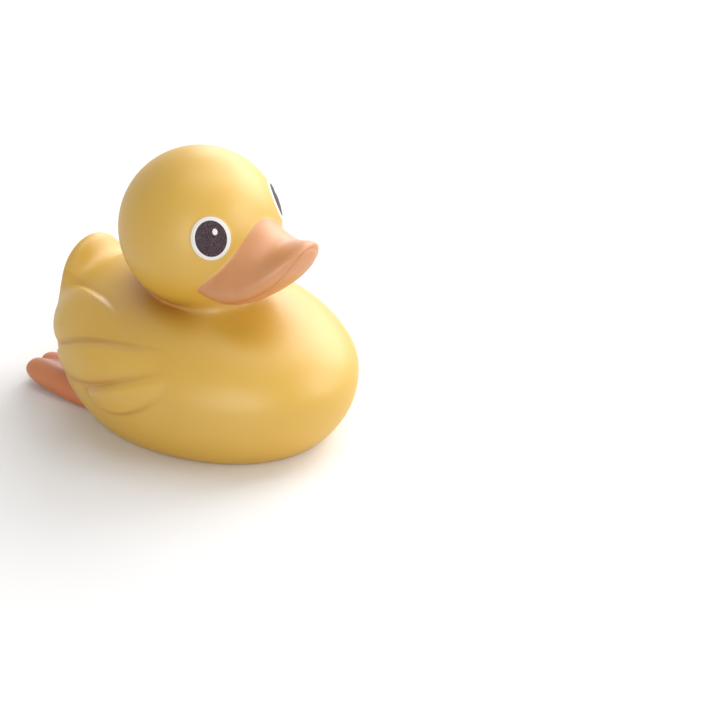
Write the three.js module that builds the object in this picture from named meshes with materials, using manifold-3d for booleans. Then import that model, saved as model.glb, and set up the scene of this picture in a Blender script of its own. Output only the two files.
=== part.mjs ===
// Bath duck cast in natural rubber: one hollow, sealed piece that sits on a flat belly. A large egg
// carries a ball head, an upturned tail, three feathers on each side, a saddle bill with a drooping
// mouth, and webbed feet that trail out behind. Millimetres, +Z up, the duck looks towards -Y, and the
// origin is on the flat underside below the middle of the egg.
import * as THREE from "three";
import { mergeVertices } from "three/addons/utils/BufferGeometryUtils.js";
import Module from "manifold-3d";

// Body: an egg with its own radius towards each side, cut flat at the floor.
const BODY = { height: 25.7, side: 47.6, chest: 68, rump: 58.2, back: 30.4, belly: 43.3 };

// Head: a ball sunk a little way into the egg.
const HEAD = { y: -4, z: 77.5, radius: 30.4 };

// Tail: a broad thin tongue standing up behind a low swelling of the back.
const TAIL = { y: 53, z: 40.5, halfWidth: 16.8, halfThick: 6.2, rise: 17.2, root: 27, ramp: 40 };
const RUMP = { y: 34, z: 30, halfWidth: 27, halfLength: 24, halfHeight: 20.5 };

// Feathers of the duck's right wing: the middle of the straight upper edge, on the skin of the egg,
// the turn in degrees from straight rearwards, the reach to the rear and to the front, the depth of the
// belly below that edge, and how far the edge stands proud. The edge itself is a narrow step.
const FEATHERS = [
  { middle: [-21.7, 36.5, 44.9], turn: 14.1, rear: 28, front: 34, belly: 17.5, proud: 4 },
  { middle: [-40, 15.2, 40.2], turn: -11, rear: 28.4, front: 34, belly: 14.8, proud: 2.8 },
  { middle: [-46.8, -0.3, 31.2], turn: -25.3, rear: 18.6, front: 25, belly: 11.9, proud: 2.5 },
];
const FEATHER_STEP = 2;
const FEATHER_ROOT = 4;

// Bill: its widest row, the reach forward and back from there, the droop of its rim towards the
// corners, the rise of the tip, the thickness above and below the rim with the extra of the chin
// towards the tip, and the brow that climbs the forehead.
const BILL = { y: -22.1, z: 71, half: 22.6, reach: 32.5, back: 14, droop: 4.2 };
const BILL_RISE = { slope: -10, tip: 21.7 };
const BILL_THICK = { lip: 10.5, under: 10.4, chin: 3.5 };
const BROW = { height: 19.8, from: -0.1, to: 0.68, taper: 1.7 };

// Mouth: a fine groove across the front of the bill, highest in the middle. Heights and the place of
// the ends are shares of the bill's own thickness and half width.
const MOUTH = { top: 0.06, fall: 1.45, low: -0.36, ends: 0.8, steps: 24, radius: 0.5 };

// Eyes: upright ovals, very slightly raised from the ball of the head.
const EYE = { aim: [-0.64, -0.713, 0.298], halfWidth: 7.3, halfHeight: 8, proud: 0.35, depth: 6 };

// Feet: two toes to a foot with a thin web between them, rising a little towards the tips.
const TOES = [
  { x: -25.3, y: 46.5, z: 4.5, halfWidth: 6.3, halfLength: 20.5, halfHeight: 5.1, lift: 6.5 },
  { x: -14.8, y: 49.2, z: 2.8, halfWidth: 5.2, halfLength: 20, halfHeight: 4.1, lift: 4 },
  { x: -20, y: 42, z: 3, halfWidth: 9.5, halfLength: 20, halfHeight: 3.6, lift: 4.5 },
];

const RUBBER = { color: 0xe0b455, roughness: 0.55, metalness: 0 };
const FLOOR_BLOCK = 400;

const wasm = await Module();
wasm.setup();

// Closed three.js geometry to a solid that can be joined and cut.
function solid(geometry) {
  geometry.deleteAttribute("normal");
  geometry.deleteAttribute("uv");
  const merged = mergeVertices(geometry, 1e-4);
  const vertProperties = new Float32Array(merged.getAttribute("position").array);
  const triVerts = new Uint32Array(merged.getIndex().array);
  return new wasm.Manifold(new wasm.Mesh({ numProp: 3, vertProperties, triVerts }));
}

// Rounded form: a unit ball with its poles up and down, each point moved to its place by a rule.
function lobe(around, rings, rule) {
  const ball = new THREE.SphereGeometry(1, around, rings).rotateX(Math.PI / 2);
  const points = ball.getAttribute("position");
  const point = new THREE.Vector3();
  for (let i = 0; i < points.count; i += 1) {
    rule(point.fromBufferAttribute(points, i));
    points.setXYZ(i, point.x, point.y, point.z);
  }
  return solid(ball);
}

const sided = (value, plus, minus) => value * (value >= 0 ? plus : minus);

// Fills out a ball towards its poles, so that a finger ends round instead of pointed.
function blunt(along) {
  const round = Math.sqrt(Math.max(1 - along ** 2, 1e-9));
  return Math.cbrt(1 - Math.abs(along) ** 3) / round;
}

// A place on the duck's right, or its mirror image on the left for a side of -1.
const onSide = ([x, y, z], side) => new THREE.Vector3(side * x, y, z);

// The egg: how far out a point is, as a share of the skin's distance from the centre.
function eggRadii(point) {
  return new THREE.Vector3(
    BODY.side,
    point.y >= 0 ? BODY.rump : BODY.chest,
    point.z >= BODY.height ? BODY.back : BODY.belly,
  );
}

function eggShare(point) {
  const radii = eggRadii(point);
  return Math.hypot(point.x / radii.x, point.y / radii.y, (point.z - BODY.height) / radii.z);
}

function eggNormal(point) {
  const radii = eggRadii(point);
  return new THREE.Vector3(point.x, point.y, point.z - BODY.height)
    .divide(radii)
    .divide(radii)
    .normalize();
}

function body() {
  return lobe(48, 26, (p) => {
    p.set(
      p.x * BODY.side,
      sided(p.y, BODY.rump, BODY.chest),
      BODY.height + sided(p.z, BODY.back, BODY.belly),
    );
  });
}

function head() {
  return lobe(42, 26, (p) => {
    p.multiplyScalar(HEAD.radius).add(new THREE.Vector3(0, HEAD.y, HEAD.z));
  });
}

function tail() {
  const tongue = lobe(28, 16, (p) => {
    const front = TAIL.halfThick + TAIL.ramp * ((1 - p.z) / 2) ** 2;
    p.set(
      p.x * TAIL.halfWidth,
      TAIL.y + sided(p.y, TAIL.halfThick, front),
      TAIL.z + sided(p.z, TAIL.rise, TAIL.root),
    );
  });
  const swelling = lobe(28, 16, (p) => {
    p.set(p.x * RUMP.halfWidth, RUMP.y + p.y * RUMP.halfLength, RUMP.z + p.z * RUMP.halfHeight);
  });
  return tongue.add(swelling);
}

// Moves a point along a direction until it lies on the skin of the egg.
function ontoEgg(point, direction) {
  for (let step = 0; step < 12; step += 1) {
    const miss = eggShare(point) - 1;
    const ahead = point.clone().addScaledVector(direction, 0.01);
    const slope = (eggShare(ahead) - 1 - miss) / 0.01;
    point.addScaledVector(direction, THREE.MathUtils.clamp(-miss / slope, -4, 4));
  }
  return point;
}

// One feather: half an oval that hugs the egg, full along its straight upper edge, thinning out towards
// its round belly and sinking into the skin at the front.
function feather({ middle, turn, rear, front, belly, proud }, side) {
  const centre = onSide(middle, side);
  ontoEgg(centre, eggNormal(centre));
  const out = eggNormal(centre);
  const along = new THREE.Vector3(0, 1, 0).projectOnPlane(out).normalize();
  along.applyAxisAngle(out, -side * THREE.MathUtils.degToRad(turn));
  const upward = along.clone().cross(out).multiplyScalar(side);
  return lobe(24, 16, (p) => {
    const place = centre.clone()
      .addScaledVector(along, sided(p.z, rear, front))
      .addScaledVector(upward, sided(side * p.x, FEATHER_STEP, belly));
    ontoEgg(place, out);
    const height = proud * (1 + Math.min(p.z, 0));
    p.copy(place.addScaledVector(eggNormal(place), sided(-p.y, height, FEATHER_ROOT)));
  });
}

// Moves a point of a unit ball to its place on the bill. The ball's level rim becomes an arched edge
// that turns up at the tip, and the brow climbs from the middle to the forehead and narrows.
function ontoBill(p) {
  const lift = Math.max(p.z, 0);
  const rim = BILL.z + BILL_RISE.slope * lift + BILL_RISE.tip * lift ** 2 - BILL.droop * p.x ** 2;
  const ramp = 1 - THREE.MathUtils.smoothstep(p.z, BROW.from, BROW.to);
  const brow = BROW.height * ramp * (1 - p.x ** 2) ** BROW.taper;
  const thick = p.y >= 0 ? BILL_THICK.lip + brow : BILL_THICK.under + BILL_THICK.chin * lift;
  return p.set(p.x * BILL.half, BILL.y - sided(p.z, BILL.reach, BILL.back), rim + p.y * thick);
}

function mouth() {
  const line = [];
  for (let i = 0; i <= MOUTH.steps; i += 1) {
    const across = MOUTH.ends * (2 * i / MOUTH.steps - 1);
    const up = Math.max(MOUTH.top - MOUTH.fall * across ** 2, MOUTH.low);
    line.push(ontoBill(new THREE.Vector3(across, up, Math.sqrt(1 - across ** 2 - up ** 2))));
  }
  const round = new THREE.Shape().absarc(0, 0, MOUTH.radius, 0, Math.PI * 2);
  const path = { extrudePath: new THREE.CatmullRomCurve3(line), steps: MOUTH.steps, curveSegments: 4 };
  return solid(new THREE.ExtrudeGeometry(round, path));
}

function bill() {
  return lobe(38, 26, ontoBill).subtract(mouth());
}

// Eye: an upright oval prism through the skin, trimmed to a ball a little larger than the head.
function eye(side) {
  const oval = new THREE.Shape().absellipse(0, 0, EYE.halfWidth, EYE.halfHeight, 0, Math.PI * 2);
  const through = { depth: 2 * EYE.depth, bevelEnabled: false, curveSegments: 24 };
  const prism = new THREE.ExtrudeGeometry(oval, through);
  const look = onSide(EYE.aim, side).normalize();
  const place = new THREE.Matrix4().lookAt(look, new THREE.Vector3(), new THREE.Vector3(0, 0, 1));
  const start = look.multiplyScalar(HEAD.radius - EYE.depth).add(new THREE.Vector3(0, HEAD.y, HEAD.z));
  prism.applyMatrix4(place.setPosition(start));
  const cap = new THREE.SphereGeometry(HEAD.radius + EYE.proud, 64, 40).rotateX(Math.PI / 2);
  return solid(prism).intersect(solid(cap.translate(0, HEAD.y, HEAD.z)));
}

function toe({ x, y, z, halfWidth, halfLength, halfHeight, lift }, side) {
  const tilt = new THREE.Matrix4().makeRotationX(THREE.MathUtils.degToRad(lift));
  return lobe(16, 11, (p) => {
    const full = blunt(p.z);
    p.set(p.x * full * halfWidth, p.z * halfLength, -p.y * full * halfHeight).applyMatrix4(tilt);
    p.add(onSide([x, y, z], side));
  });
}

function duck() {
  let whole = body().add(head()).add(tail());
  for (const side of [1, -1]) {
    for (const shape of FEATHERS) whole = whole.add(feather(shape, side));
    for (const shape of TOES) whole = whole.add(toe(shape, side));
    whole = whole.add(eye(side));
  }
  whole = whole.add(bill());
  const block = new THREE.BoxGeometry(FLOOR_BLOCK, FLOOR_BLOCK, FLOOR_BLOCK);
  return whole.subtract(solid(block.translate(0, 0, -FLOOR_BLOCK / 2)));
}

function surface(shape) {
  const { vertProperties, triVerts } = shape.getMesh();
  const geometry = new THREE.BufferGeometry();
  geometry.setAttribute("position", new THREE.BufferAttribute(vertProperties, 3));
  geometry.setIndex(new THREE.BufferAttribute(triVerts, 1));
  geometry.computeVertexNormals();
  return geometry;
}

const group = new THREE.Group();
const mesh = new THREE.Mesh(surface(duck()), new THREE.MeshStandardMaterial(RUBBER));
mesh.name = "duck";
group.add(mesh);

export default group;
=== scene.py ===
import math
from types import SimpleNamespace

import bpy
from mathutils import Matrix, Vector


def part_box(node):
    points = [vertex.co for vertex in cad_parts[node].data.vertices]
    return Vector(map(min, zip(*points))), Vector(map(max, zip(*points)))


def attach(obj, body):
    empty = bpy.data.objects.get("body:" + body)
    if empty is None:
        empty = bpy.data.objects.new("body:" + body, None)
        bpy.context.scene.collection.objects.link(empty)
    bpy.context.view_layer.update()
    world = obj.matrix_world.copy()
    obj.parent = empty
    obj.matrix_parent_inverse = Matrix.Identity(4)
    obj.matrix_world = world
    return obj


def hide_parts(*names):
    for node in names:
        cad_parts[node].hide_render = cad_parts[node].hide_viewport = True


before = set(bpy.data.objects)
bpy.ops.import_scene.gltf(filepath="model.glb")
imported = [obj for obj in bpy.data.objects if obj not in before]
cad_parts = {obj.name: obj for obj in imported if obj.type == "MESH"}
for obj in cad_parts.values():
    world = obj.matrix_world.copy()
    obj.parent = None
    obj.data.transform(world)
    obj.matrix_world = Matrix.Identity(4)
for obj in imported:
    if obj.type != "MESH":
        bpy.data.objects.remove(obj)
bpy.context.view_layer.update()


# The duck: one hollow piece of natural rubber, cast in a mould and sealed, with its bill and feet
# sprayed orange and its eyes printed on. Its skin is one surface: every form of the casting is a
# distance, and the forms run into each other with the fillets that the mould has.
class Wire:
    """A socket of a node tree. Arithmetic on wires adds the Math nodes that work it out."""

    def __init__(self, tree, socket=None):
        self.tree = tree
        self.socket = socket

    def node(self, kind, settings=None, sockets=None, out=0):
        """Adds a node, its settings first and then the values or links of its sockets."""
        added = self.tree.nodes.new(kind)
        for name, value in (settings or {}).items():
            setattr(added, name, value)
        for name, value in (sockets or {}).items():
            named = [socket for socket in added.inputs if socket.name == name and socket.enabled]
            socket = named[0] if named else added.inputs[name]
            if isinstance(value, Wire):
                self.tree.links.new(value.socket, socket)
            else:
                socket.default_value = value
        outs = [socket for socket in added.outputs if socket.enabled]
        return Wire(self.tree, outs[out] if isinstance(out, int) else added.outputs[out])

    def math(self, operation, *values):
        return self.node("ShaderNodeMath", {"operation": operation}, dict(enumerate(values)))

    def vector_math(self, operation, *values, out=0):
        return self.node("ShaderNodeVectorMath", {"operation": operation}, dict(enumerate(values)), out)

    def __add__(self, other):
        return self.math("ADD", self, other)

    def __radd__(self, other):
        return self.math("ADD", other, self)

    def __sub__(self, other):
        return self.math("SUBTRACT", self, other)

    def __rsub__(self, other):
        return self.math("SUBTRACT", other, self)

    def __mul__(self, other):
        return self.math("MULTIPLY", self, other)

    def __rmul__(self, other):
        return self.math("MULTIPLY", other, self)

    def __truediv__(self, other):
        return self.math("DIVIDE", self, other)

    def __pow__(self, other):
        return self.math("POWER", self, other)

    def __neg__(self):
        return self.math("MULTIPLY", self, -1.0)

    def __abs__(self):
        return self.math("ABSOLUTE", self)

    def __gt__(self, other):
        return self.math("GREATER_THAN", self, other)

    def at_least(self, other):
        return self.math("MAXIMUM", self, other)

    def at_most(self, other):
        return self.math("MINIMUM", self, other)

    def joined(self, other, fillet):
        """Two distances as one, with a fillet where the forms meet."""
        return self.math("SMOOTH_MIN", self, other, fillet)

    def raised(self, other, fillet):
        """The higher of two values, with a fillet where they cross."""
        return self.math("SMOOTH_MAX", self, other, fillet)

    def ramp(self, start, end):
        """Rises smoothly from 0 at start to 1 at end."""
        ends = {"Value": self, "From Min": start, "From Max": end}
        return self.node("ShaderNodeMapRange", {"interpolation_type": "SMOOTHSTEP"}, ends)

    def bell(self, width):
        """1 at zero, fading to nothing a couple of widths away."""
        share = self / width
        return self.math("EXPONENT", -(share * share))

    def split(self):
        parts = self.node("ShaderNodeSeparateXYZ", {}, {"Vector": self}).socket.node
        return [Wire(self.tree, socket) for socket in parts.outputs]

    def dot(self, direction):
        return self.vector_math("DOT_PRODUCT", self, direction, out="Value")


def size_of(parts):
    """The length of a vector from its parts."""
    return sum(part * part for part in parts) ** 0.5


def ball(offsets, radii):
    """Distance to a ball stretched to these radii, true near its skin."""
    shares = [offset / radius for offset, radius in zip(offsets, radii)]
    reach = size_of(shares)
    return reach * (reach - 1) / size_of([share / radius for share, radius in zip(shares, radii)])


def sided(value, plus, minus):
    """The radius that holds on a value's own side of zero."""
    return minus + (plus - minus) * (value > 0)


skin_tree = bpy.data.node_groups.new("duck skin", "GeometryNodeTree")
skin_tree.interface.new_socket("Geometry", in_out="OUTPUT", socket_type="NodeSocketGeometry")
skin = Wire(skin_tree)
given = skin_tree.nodes.new("NodeGroupInput")
size_inputs = {}


def sizes(form, **values):
    """Makes named inputs of the tree for a form's sizes and returns their wires."""
    wires = SimpleNamespace()
    for name, value in values.items():
        is_vector = hasattr(value, "__len__")
        kind = "NodeSocketVector" if is_vector else "NodeSocketFloat"
        item = skin_tree.interface.new_socket(f"{form} {name}", in_out="INPUT", socket_type=kind)
        size_inputs[item.identifier] = tuple(value) if is_vector else float(value)
        setattr(wires, name, Wire(skin_tree, given.outputs[item.name]))
    return wires


place = skin.node("GeometryNodeInputPosition")
x, y, z = place.split()
right_place = skin.node("ShaderNodeCombineXYZ", {}, {"X": -abs(x), "Y": y, "Z": z})

# Body: an egg with its own radius towards each side, the largest form of the casting, and a low
# swelling of the back that carries the tail. Back turns into belly over a narrow shoulder.
BODY = dict(height=0.0257, side=0.0476, chest=0.0680, rump=0.0582, back=0.0304, belly=0.0433)
SHOULDER = 0.008
body = sizes("Body", **BODY)
rise = z - body.height
egg_radii = [
    body.side,
    sided(y, body.rump, body.chest),
    body.belly + (body.back - body.belly) * rise.ramp(-SHOULDER, SHOULDER),
]
egg = ball([x, y, rise], egg_radii)
swell = sizes("Swelling", y=0.034, z=0.030, width=0.027, length=0.024, height=0.0205, fillet=0.012)
swelling = ball([x, y - swell.y, z - swell.z], [swell.width, swell.length, swell.height])
back = egg.joined(swelling, swell.fillet)


# Feathers: three half ovals in relief on each wing, cast with the body. Each hugs the egg, with a
# near-straight crease along its top, full as a pillow at the rear and sinking into the egg in front.
def egg_radii_at(point):
    """The egg's radii on a point's own sides."""
    return Vector((
        BODY["side"],
        BODY["rump"] if point.y > 0 else BODY["chest"],
        BODY["back"] if point.z > BODY["height"] else BODY["belly"],
    ))


def egg_share(point):
    radii = egg_radii_at(point)
    return Vector((point.x / radii.x, point.y / radii.y, (point.z - BODY["height"]) / radii.z))


def egg_normal(point):
    radii = egg_radii_at(point)
    share = egg_share(point)
    return Vector((share.x / radii.x, share.y / radii.y, share.z / radii.z)).normalized()


def on_egg(point):
    centre = Vector((0, 0, BODY["height"]))
    return centre + (point - centre) / egg_share(point).length


MILLIMETRE = 0.001
# The shade column sets how dark the painted shade along each feather's crease is.
FEATHERS = [
    dict(
        middle=(-23.4, 36.3, 43.9), turn=14.1, rear=28, front=34, belly=17.5,
        step=6.5, soft=3.5, proud=5.2, shade=0.25,
    ),
    dict(
        middle=(-40, 15.2, 40.2), turn=-11, rear=28.4, front=34, belly=14.8,
        step=1.5, soft=4.5, proud=4.4, shade=0.7,
    ),
    dict(
        middle=(-46.8, -0.3, 31.2), turn=-25.3, rear=18.6, front=25, belly=11.9,
        step=1.5, soft=4.5, proud=4.0, shade=0.7,
    ),
]
FEATHER_LENGTHS = ("rear", "front", "belly", "step", "soft", "proud")
# A feather's height goes by a power of how far inside its outline a point is, with a straight start.
FEATHER_EDGE = 0.004
FEATHER_FULL = 0.38
# Painted shade along each feather's crease fades in over this much of the outline's own measure.
OUTLINE_OUTER = -0.4
OUTLINE_INNER = 0.05
edge_rise = FEATHER_EDGE ** FEATHER_FULL
edge_slope = FEATHER_FULL * edge_rise / FEATHER_EDGE
# The last three sizes set the painted shade of the feather creases: the width of its band, and the
# relief heights between which it fades out.
plumage = sizes("Feather", crease=0.0004, fillet=0.0006, outline=0.0013, low=0.0008, high=0.0022)
relief = None
painted_crease_shade = None
for number, feather in enumerate(FEATHERS, 1):
    middle = on_egg(Vector(feather["middle"]) * MILLIMETRE)
    out = egg_normal(middle)
    rearward = (Vector((0, 1, 0)) - out * out.y).normalized()
    turn = math.radians(feather["turn"])
    along = rearward * math.cos(turn) + rearward.cross(out) * math.sin(turn)
    vane = sizes(
        f"Feather {number}",
        middle=middle,
        along=along,
        upward=along.cross(out),
        shade=feather["shade"],
        **{name: feather[name] * MILLIMETRE for name in FEATHER_LENGTHS},
    )
    from_middle = skin.vector_math("SUBTRACT", right_place, vane.middle)
    length = from_middle.dot(vane.along)
    depth = -from_middle.dot(vane.upward)
    length_share = length / sided(length, vane.rear, vane.front)
    reach_down = sided(depth, vane.belly, vane.step)
    depth_share = depth / reach_down
    inside = 1 - length_share * length_share - depth_share * depth_share
    pillow = (inside.at_least(0) + FEATHER_EDGE) ** FEATHER_FULL - edge_rise
    dome = pillow + inside.at_most(0) * edge_slope
    from_top = depth + vane.step * (1 - length_share * length_share).at_least(0) ** 0.5
    fade = (1 + length_share.at_most(0)).at_least(0)
    height = dome * from_top.ramp(0, vane.soft) * vane.proud * fade
    # Painted shade: a dark band along the feather's top crease and belly edge, where shade falls
    # between the feathers.
    edge = abs(from_top).at_most(abs(inside) * reach_down / 2).bell(plumage.outline)
    outline = edge * inside.ramp(OUTLINE_OUTER, OUTLINE_INNER) * fade * vane.shade
    relief = height if relief is None else relief.raised(height, plumage.crease)
    painted_crease_shade = outline if painted_crease_shade is None else painted_crease_shade.at_least(outline)
# The painted crease shade fades out where the relief stands high.
painted_crease_shade = painted_crease_shade * (1 - relief.ramp(plumage.low, plumage.high))
feathered = back.at_most(egg - relief.raised(0, plumage.fillet))

# Tail: a broad thin tongue of the casting that stands up behind the swelling. Its front ramps down
# into the back, and a wide fillet leads into it all round.
tail = sizes(
    "Tail", y=0.0530, z=0.0405, width=0.0168, thick=0.0062, rise=0.0172, root=0.027,
    ramp=0.040, fillet=0.009,
)
tail_rise = z - tail.z
tail_height = sided(tail_rise, tail.rise, tail.root)
tail_front = tail.thick + tail.ramp * ((1 - tail_rise / tail_height) / 2) ** 2
tail_back = y - tail.y
tongue_radii = [tail.width, sided(tail_back, tail.thick, tail_front), tail_height]
trunk = feathered.joined(ball([x, tail_back, tail_rise], tongue_radii), tail.fillet)

# Head: a ball sunk a little way into the egg. The neck is a sharp crease at the sides, and runs out
# softly at the throat and the nape. The eyes are printed on ovals raised by a hair.
HEAD = dict(y=-0.004, z=0.0775, radius=0.0304)
EYE_AIM = Vector((-0.640, -0.713, 0.298)).normalized()
EYE_TILT = math.radians(6)
EYE_HALF = (0.0073, 0.0080)
EYE_EDGE = (0.95, 1.03)
LEFT_EYE_TURN = math.radians(3)
THROAT_SPAN = (0.005, 0.026)
NAPE_SPAN = (0.004, 0.022)
THROAT_FADE = 0.75
level = Vector((0, 0, 1)).cross(EYE_AIM).normalized()
upright = EYE_AIM.cross(level)
eye_across = level * math.cos(EYE_TILT) + upright * math.sin(EYE_TILT)
eye_up = EYE_AIM.cross(eye_across)


def seen_from_head(tree, point, side):
    """A point from the head's middle, with the left eye, which sits a little higher, brought over
    to the right one."""
    centred = tree.vector_math("SUBTRACT", point, (0, HEAD["y"], HEAD["z"]))
    turn = {"Vector": centred, "Angle": (side > 0) * LEFT_EYE_TURN}
    turned = tree.node("ShaderNodeVectorRotate", {"rotation_type": "Y_AXIS"}, turn).split()
    right = {"X": -abs(turned[0]), "Y": turned[1], "Z": turned[2]}
    return tree.node("ShaderNodeCombineXYZ", {}, right)


head = sizes("Head", fillet=0.0016, throat=0.016, nape=0.009, crease=0.007, **HEAD)
eye = sizes(
    "Eye", across=eye_across, up=eye_up, aim=EYE_AIM, width=EYE_HALF[0], height=EYE_HALF[1],
    proud=0.0003,
)
from_head = seen_from_head(skin, place, x)
eye_reach = size_of([from_head.dot(eye.across) / eye.width, from_head.dot(eye.up) / eye.height])
eye_cap = (1 - eye_reach.ramp(*EYE_EDGE)) * (from_head.dot(eye.aim) > 0) * eye.proud
skull = size_of([x, y - head.y, z - head.z]) - head.radius - eye_cap
throat = (-y).ramp(*THROAT_SPAN)
nape = y.ramp(*NAPE_SPAN)
figure = trunk.joined(skull, head.fillet + head.throat * throat + head.nape * nape)
# Painted shade in the neck crease, where the head shades the body: its width is the head's crease size,
# and it thins out towards the throat.
painted_crease_shade = painted_crease_shade.at_least((trunk - skull).bell(head.crease) * (1 - THROAT_FADE * throat))

# Bill: a saddle cast with the head, with a brow that climbs to the forehead, drooping corners and a
# turned-up tip. The mouth is a fine groove across its front.
bill = sizes(
    "Bill", y=-0.0221, z=0.071, half=0.0226, reach=0.0325, back=0.014, droop=0.0042,
    slope=-0.010, tip=0.0217, lip=0.0105, under=0.0104, chin=0.0035,
    brow=0.0198, brow_from=-0.10, brow_to=0.68, brow_taper=1.7,
    mouth_top=0.06, mouth_fall=1.45, mouth_low=-0.36, groove=0.0005, groove_width=0.0007,
    fillet=0.0014,
)
width_share = x / bill.half
ahead = bill.y - y
bill_length = sided(ahead, bill.reach, bill.back)
forward = ahead / bill_length
lift = forward.at_least(0)
crown = (1 - width_share * width_share).at_least(0)
rim = bill.z + bill.slope * lift + bill.tip * lift * lift - bill.droop * width_share * width_share
brow = bill.brow * (1 - forward.ramp(bill.brow_from, bill.brow_to)) * crown ** bill.brow_taper
over = z - rim
thick = sided(over, bill.lip + brow, bill.under + bill.chin * lift)
beak = ball([x, ahead, over], [bill.half, bill_length, thick])
mouth = (bill.mouth_top - bill.mouth_fall * width_share * width_share).at_least(bill.mouth_low)
mouth_miss = (over / thick - mouth) * bill.lip
grooved_beak = beak + bill.groove * mouth_miss.bell(bill.groove_width)
billed = figure.joined(grooved_beak, bill.fillet)

# Feet: two blunt toes to a foot with a thin web between them, cast with the body. They trail out
# behind it and rise a little towards the tips.
TOES = [
    dict(place=(-0.0253, 0.0465, 0.0045), width=0.0063, length=0.0205, height=0.0051, lift=6.5),
    dict(place=(-0.0148, 0.0492, 0.0028), width=0.0052, length=0.0200, height=0.0041, lift=4),
    dict(place=(-0.0200, 0.0420, 0.0030), width=0.0095, length=0.0200, height=0.0036, lift=4.5),
]
BLUNT = 3
foot = sizes("Foot", fillet=0.0015, web=0.003)
feet = None
for number, toe in enumerate(TOES, 1):
    lift_angle = math.radians(toe["lift"])
    digit = sizes(
        f"Toe {number}",
        place=toe["place"],
        along=(0, math.cos(lift_angle), math.sin(lift_angle)),
        up=(0, -math.sin(lift_angle), math.cos(lift_angle)),
        width=toe["width"],
        length=toe["length"],
        height=toe["height"],
    )
    from_toe = skin.vector_math("SUBTRACT", right_place, digit.place)
    section = size_of([from_toe.dot((1, 0, 0)) / digit.width, from_toe.dot(digit.up) / digit.height])
    length_share = abs(from_toe.dot(digit.along) / digit.length)
    reach = (section ** BLUNT + length_share ** BLUNT) ** (1 / BLUNT)
    distance = (reach - 1) * digit.height
    feet = distance if feet is None else feet.joined(distance, foot.web)
footed = billed.joined(feet, foot.fillet)

# Underside: the casting stands on a flat belly, with a small round where the floor of the mould
# meets its wall.
base = sizes("Base", round=0.0020)
casting = footed.raised(-z, base.round)

# Skin: the distances become one closed surface on a fine grid, and each point of it then moves onto
# the true skin. Where bill, feet, mouth and the painted shade of the creases lie stays with the points,
# for the paint.
VOXEL = 0.0008
MARGIN = 0.004
SKIN_LEVEL = 0.5
SKIN_DEPTH = 4 * VOXEL
margin = Vector((MARGIN, MARGIN, MARGIN))
low = Vector(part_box("duck")[0]) - margin
high = Vector(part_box("duck")[1]) + margin
cells = [math.ceil((top - bottom) / VOXEL) for bottom, top in zip(low, high)]
density = (SKIN_LEVEL - casting / SKIN_DEPTH).at_least(0).at_most(1)
cloud = skin.node("GeometryNodeVolumeCube", {}, {
    "Density": density,
    "Min": low,
    "Max": high,
    "Resolution X": cells[0],
    "Resolution Y": cells[1],
    "Resolution Z": cells[2],
})
surface_of = {"Volume": cloud, "Threshold": SKIN_LEVEL}
shell = skin.node("GeometryNodeVolumeToMesh", {"resolution_mode": "GRID"}, surface_of)
normal = skin.node("GeometryNodeInputNormal")
way_back = {"Vector": normal, "Scale": -casting}
onto_skin = skin.node("ShaderNodeVectorMath", {"operation": "SCALE"}, way_back)
shell = skin.node("GeometryNodeSetPosition", {}, {"Geometry": shell, "Offset": onto_skin})
paint_guides = {
    "bill": grooved_beak - figure,
    "feet": feet - billed,
    "mouth": mouth_miss,
    # painted shade of the feather and neck creases
    "crease": painted_crease_shade,
}
for name, value in paint_guides.items():
    kept = {"Geometry": shell, "Name": name, "Value": value}
    on_points = {"data_type": "FLOAT", "domain": "POINT"}
    shell = skin.node("GeometryNodeStoreNamedAttribute", on_points, kept)
shell = skin.node("GeometryNodeSetShadeSmooth", {}, {"Geometry": shell})

rubber = bpy.data.materials.new("cast_rubber")
rubber.use_nodes = True
shell = skin.node("GeometryNodeRealizeInstances", {}, {"Geometry": shell})
shell = skin.node("GeometryNodeSetMaterial", {}, {"Geometry": shell, "Material": rubber})
output = skin_tree.nodes.new("NodeGroupOutput")
skin_tree.links.new(shell.socket, output.inputs["Geometry"])

duck = bpy.data.objects.new("rubber_duck", bpy.data.meshes.new("rubber_duck"))
bpy.context.scene.collection.objects.link(duck)
modifier = duck.modifiers.new("duck skin", "NODES")
modifier.node_group = skin_tree
for identifier, value in size_inputs.items():
    modifier[identifier] = value
evaluated = duck.evaluated_get(bpy.context.evaluated_depsgraph_get())
baked = bpy.data.meshes.new_from_object(evaluated)
duck.modifiers.remove(modifier)
duck.data = baked

# Finish: yellow rubber with a soft satin skin, slightly cloudy, with shade painted darker into its
# creases and mouth groove. Bill and feet are sprayed orange over it, with a clean edge.
rubber.node_tree.nodes.clear()
paint = Wire(rubber.node_tree)
spot = paint.node("ShaderNodeTexCoord", out="Object")


def blend(first, second, share):
    """A colour that goes from the first to the second by a share."""
    mixed = {"Factor": share, "A": first, "B": second}
    return paint.node("ShaderNodeMix", {"data_type": "RGBA"}, mixed)


def noise(size, detail=2.0):
    """Soft cloudy variation with patches of about this size, around 0.5."""
    cloudy = {"Vector": spot, "Scale": 1 / size, "Detail": detail}
    return paint.node("ShaderNodeTexNoise", {}, cloudy, out="Fac")


def guide(name):
    """What the skin keeps at its points for the paint."""
    return paint.node("ShaderNodeAttribute", {"attribute_name": name}, out="Fac")


PAINT_EDGE = 0.00012


def sprayed(name):
    """1 where a form's own distance says that it is outermost, with a clean paint edge."""
    return 1 - guide(name).ramp(-PAINT_EDGE, PAINT_EDGE)


YELLOW = (0.59, 0.340, 0.028, 1)
PALE_YELLOW = (0.60, 0.355, 0.038, 1)
CREASE_SHADE_YELLOW = (0.42, 0.160, 0.005, 1)
YELLOW_PATCH = 0.030
PATCH_TONES = (0.35, 0.65)
CREASE_SHADE_STRENGTH = 0.8
colour = blend(YELLOW, PALE_YELLOW, noise(YELLOW_PATCH).ramp(*PATCH_TONES))
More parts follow.
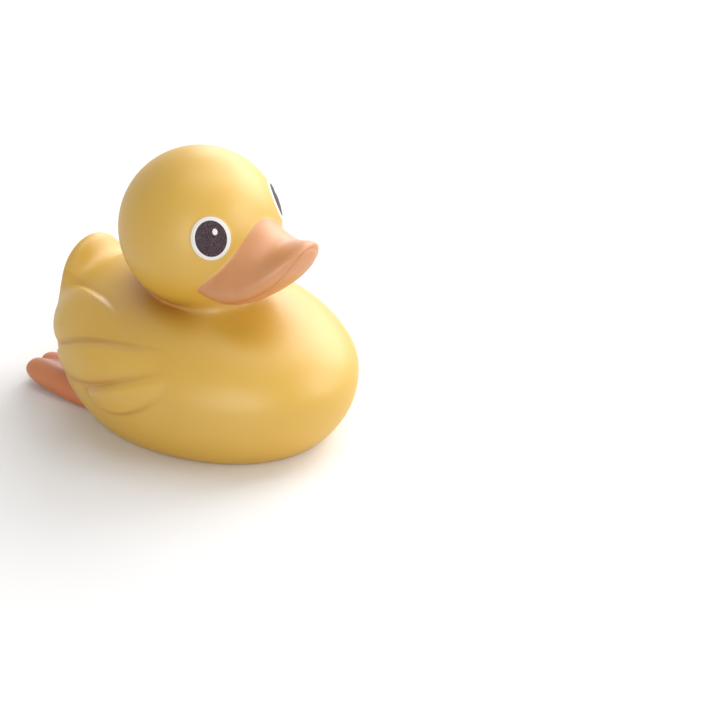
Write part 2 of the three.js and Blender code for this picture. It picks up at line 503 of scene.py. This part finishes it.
# Painted shade: the yellow turns darker and deeper in the feather and neck creases.
colour = blend(colour, CREASE_SHADE_YELLOW, guide("crease") * CREASE_SHADE_STRENGTH)

ORANGE = (0.52, 0.204, 0.057, 1)
PALE_ORANGE = (0.55, 0.235, 0.083, 1)
GROOVE_SHADE_ORANGE = (0.34, 0.105, 0.028, 1)
BILL_PATCH = 0.012
BILL_TONES = (0.3, 0.7)
MOUTH_LINE = 0.00035
MOUTH_SHADE_STRENGTH = 0.5
bill_colour = blend(ORANGE, PALE_ORANGE, noise(BILL_PATCH).ramp(*BILL_TONES))
# Painted shade: the orange darkens along the mouth groove.
bill_colour = blend(bill_colour, GROOVE_SHADE_ORANGE, guide("mouth").bell(MOUTH_LINE) * MOUTH_SHADE_STRENGTH)
colour = blend(colour, bill_colour, sprayed("bill"))

FOOT_ORANGE = (0.50, 0.156, 0.036, 1)
FOOT_RED = (0.52, 0.140, 0.032, 1)
FOOT_PATCH = 0.010
foot_colour = blend(FOOT_ORANGE, FOOT_RED, noise(FOOT_PATCH).ramp(*PATCH_TONES))
colour = blend(colour, foot_colour, sprayed("feet"))

# Eyes: printed on the raised ovals in dull ink, an off-white ring with two fine grey lines round a
# speckled plum iris, and a white glint high up, on the same hand in both eyes.
RING_WHITE = (0.78, 0.75, 0.69, 1)
RING_GREY = (0.42, 0.39, 0.36, 1)
RING_EDGE = (0.992, 1.008)
RING_LINES = [dict(at=0.905, width=0.012, ink=0.45), dict(at=0.99, width=0.016, ink=0.8)]
PLUM = (0.034, 0.018, 0.024, 1)
PALE_PLUM = (0.098, 0.068, 0.080, 1)
SPECKLE = 0.00035
SPECKLE_DETAIL = 1.0
SPECKLE_TONES = (0.42, 0.68)
IRIS_HALF = (0.00575, 0.0066)
IRIS_EDGE = (0.985, 1.015)
GLINT_PLACE = (0.0018, 0.0022)
GLINT_HALF = (0.00092, 0.00118)
GLINT_EDGE = (0.9, 1.1)
spot_side = spot.split()[0]
eye_spot = seen_from_head(paint, spot, spot_side)
eye_x = eye_spot.dot(eye_across)
eye_y = eye_spot.dot(eye_up)
glint_x = eye_x * (1 - 2 * (spot_side > 0))


def oval_share(across, up, half):
    """How far out a spot is, as a share of an oval's rim."""
    return size_of([across / half[0], up / half[1]])


ring_share = oval_share(eye_x, eye_y, EYE_HALF)
iris_share = oval_share(eye_x, eye_y, IRIS_HALF)
glint_share = oval_share(glint_x - GLINT_PLACE[0], eye_y - GLINT_PLACE[1], GLINT_HALF)
grey_lines = sum((ring_share - line["at"]).bell(line["width"]) * line["ink"] for line in RING_LINES)
ring_colour = blend(RING_WHITE, RING_GREY, grey_lines)
iris_colour = blend(PLUM, PALE_PLUM, noise(SPECKLE, SPECKLE_DETAIL).ramp(*SPECKLE_TONES))
eye_colour = blend(iris_colour, ring_colour, iris_share.ramp(*IRIS_EDGE))
eye_colour = blend(RING_WHITE, eye_colour, glint_share.ramp(*GLINT_EDGE))
eye_mask = (1 - ring_share.ramp(*RING_EDGE)) * (eye_spot.dot(EYE_AIM) > 0)

# Surface: the cast skin has a fine grain and long shallow waves, and a satin sheen that varies a
# little. The ink of the eyes is duller than the rubber.
GRAIN = 0.0006
GRAIN_DETAIL = 3.0
GRAIN_HEIGHT = 0.00001
WAVE = 0.006
WAVE_HEIGHT = 0.00004
RELIEF_STRENGTH = 0.6
SHEEN_SPREAD = 0.08
SATIN_ROUGHNESS = 0.41
SATIN_PATCH = 0.004
SATIN_IOR = 1.48
SATIN_SHINE = 1.0
INK_ROUGHNESS = 0.55
INK_PATCH = 0.002
INK_SHINE = 0.2
grain = noise(GRAIN, GRAIN_DETAIL) * GRAIN_HEIGHT + noise(WAVE) * WAVE_HEIGHT
uneven = {"Strength": RELIEF_STRENGTH, "Distance": 1.0, "Height": grain}
bump = paint.node("ShaderNodeBump", {}, uneven)
satin = paint.node("ShaderNodeBsdfPrincipled", {}, {
    "Base Color": colour,
    "Roughness": SATIN_ROUGHNESS + SHEEN_SPREAD * noise(SATIN_PATCH),
    "Normal": bump,
    "IOR": SATIN_IOR,
    "Specular IOR Level": SATIN_SHINE,
})
ink = paint.node("ShaderNodeBsdfPrincipled", {}, {
    "Base Color": eye_colour,
    "Roughness": INK_ROUGHNESS + SHEEN_SPREAD * noise(INK_PATCH),
    "Normal": bump,
    "Specular IOR Level": INK_SHINE,
})
finish = paint.node("ShaderNodeMixShader", {}, {0: eye_mask, 1: satin, 2: ink})
surface = rubber.node_tree.nodes.new("ShaderNodeOutputMaterial")
rubber.node_tree.links.new(finish.socket, surface.inputs["Surface"])

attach(duck, "root")
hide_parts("duck")


# Floor: a sheet of matt white paper, laid flat. The duck stands on it and throws its soft shadow
# there, and the pale room goes on beyond its edge.
FLOOR_HALF = 1.5
PAPER_WHITE = (0.87, 0.87, 0.87, 1)
PAPER_ROUGHNESS = 0.9
corners = [(-1, -1), (1, -1), (1, 1), (-1, 1)]
floor = bpy.data.objects.new("floor", bpy.data.meshes.new("floor"))
sheet = [(across * FLOOR_HALF, along * FLOOR_HALF, 0) for across, along in corners]
floor.data.from_pydata(sheet, [], [(0, 1, 2, 3)])
bpy.context.scene.collection.objects.link(floor)
paper = bpy.data.materials.new("white_paper")
paper.use_nodes = True
paper_skin = paper.node_tree.nodes["Principled BSDF"]
paper_skin.inputs["Base Color"].default_value = PAPER_WHITE
paper_skin.inputs["Roughness"].default_value = PAPER_ROUGHNESS
paper_skin.inputs["Specular IOR Level"].default_value = 0.0
floor.data.materials.append(paper)


# Room: even pale walls all round, which light the duck at a third of white. The camera, reflections
# and clear surfaces see them plain white.
ROOM_LIGHT = 0.32
world = bpy.data.worlds.new("studio")
world.use_nodes = True
room = Wire(world.node_tree)
camera_ray = room.node("ShaderNodeLightPath", out="Is Camera Ray")
glossy_ray = room.node("ShaderNodeLightPath", out="Is Glossy Ray")
clear_ray = room.node("ShaderNodeLightPath", out="Is Transmission Ray")
room_seen = camera_ray.at_least(glossy_ray).at_least(clear_ray)
room_level = ROOM_LIGHT + (1 - ROOM_LIGHT) * room_seen
walls = world.node_tree.nodes["Background"]
world.node_tree.links.new(room_level.socket, walls.inputs["Color"])
walls.inputs["Strength"].default_value = 1.0
bpy.context.scene.world = world


# Light: six large square softboxes aimed at the duck, each by its direction and its watts. Four stand
# on the camera's right and beyond the duck, one hangs overhead, and one fills from the camera's side.
SOFTBOXES = {
    "right": ((0.87, -0.25, 0.41), 56.0),
    "right_rear": ((0.85, 0.35, 0.40), 44.0),
    "right_front": ((0.35, -0.85, 0.40), 42.0),
    "right_high": ((0.60, -0.20, 0.77), 34.0),
    "top": ((0.10, 0.00, 1.00), 20.0),
    "camera_side": ((-0.75, -0.45, 0.28), 38.0),
}
SOFTBOX_AWAY = 3.2
SOFTBOX_SIZE = 2.0
for name, (direction, watts) in SOFTBOXES.items():
    lamp = bpy.data.objects.new(name, bpy.data.lights.new(name, "AREA"))
    lamp.data.shape = "SQUARE"
    lamp.data.size = SOFTBOX_SIZE
    lamp.data.energy = watts
    lamp.location = Vector(direction).normalized() * SOFTBOX_AWAY
    lamp.rotation_euler = Vector(direction).to_track_quat("Z", "Y").to_euler()
    bpy.context.scene.collection.objects.link(lamp)


# Camera: a long lens at the photograph's angle, above and in front of the duck's right shoulder.
# The duck stands left of the middle of its picture.
CAMERA_PLACE = (-0.48061, -0.42345, 0.38606)
CAMERA_DOWN = 29.919
CAMERA_TURN = -54.204
LENS = 95
SENSOR = 36
camera = bpy.data.objects.new("camera", bpy.data.cameras.new("camera"))
camera.data.lens = LENS
camera.data.sensor_width = SENSOR
camera.location = CAMERA_PLACE
camera.rotation_euler = (math.radians(90 - CAMERA_DOWN), 0, math.radians(CAMERA_TURN))
bpy.context.scene.collection.objects.link(camera)
bpy.context.scene.camera = camera
bpy.context.scene.view_settings.view_transform = "Standard"

bpy.context.view_layer.update()
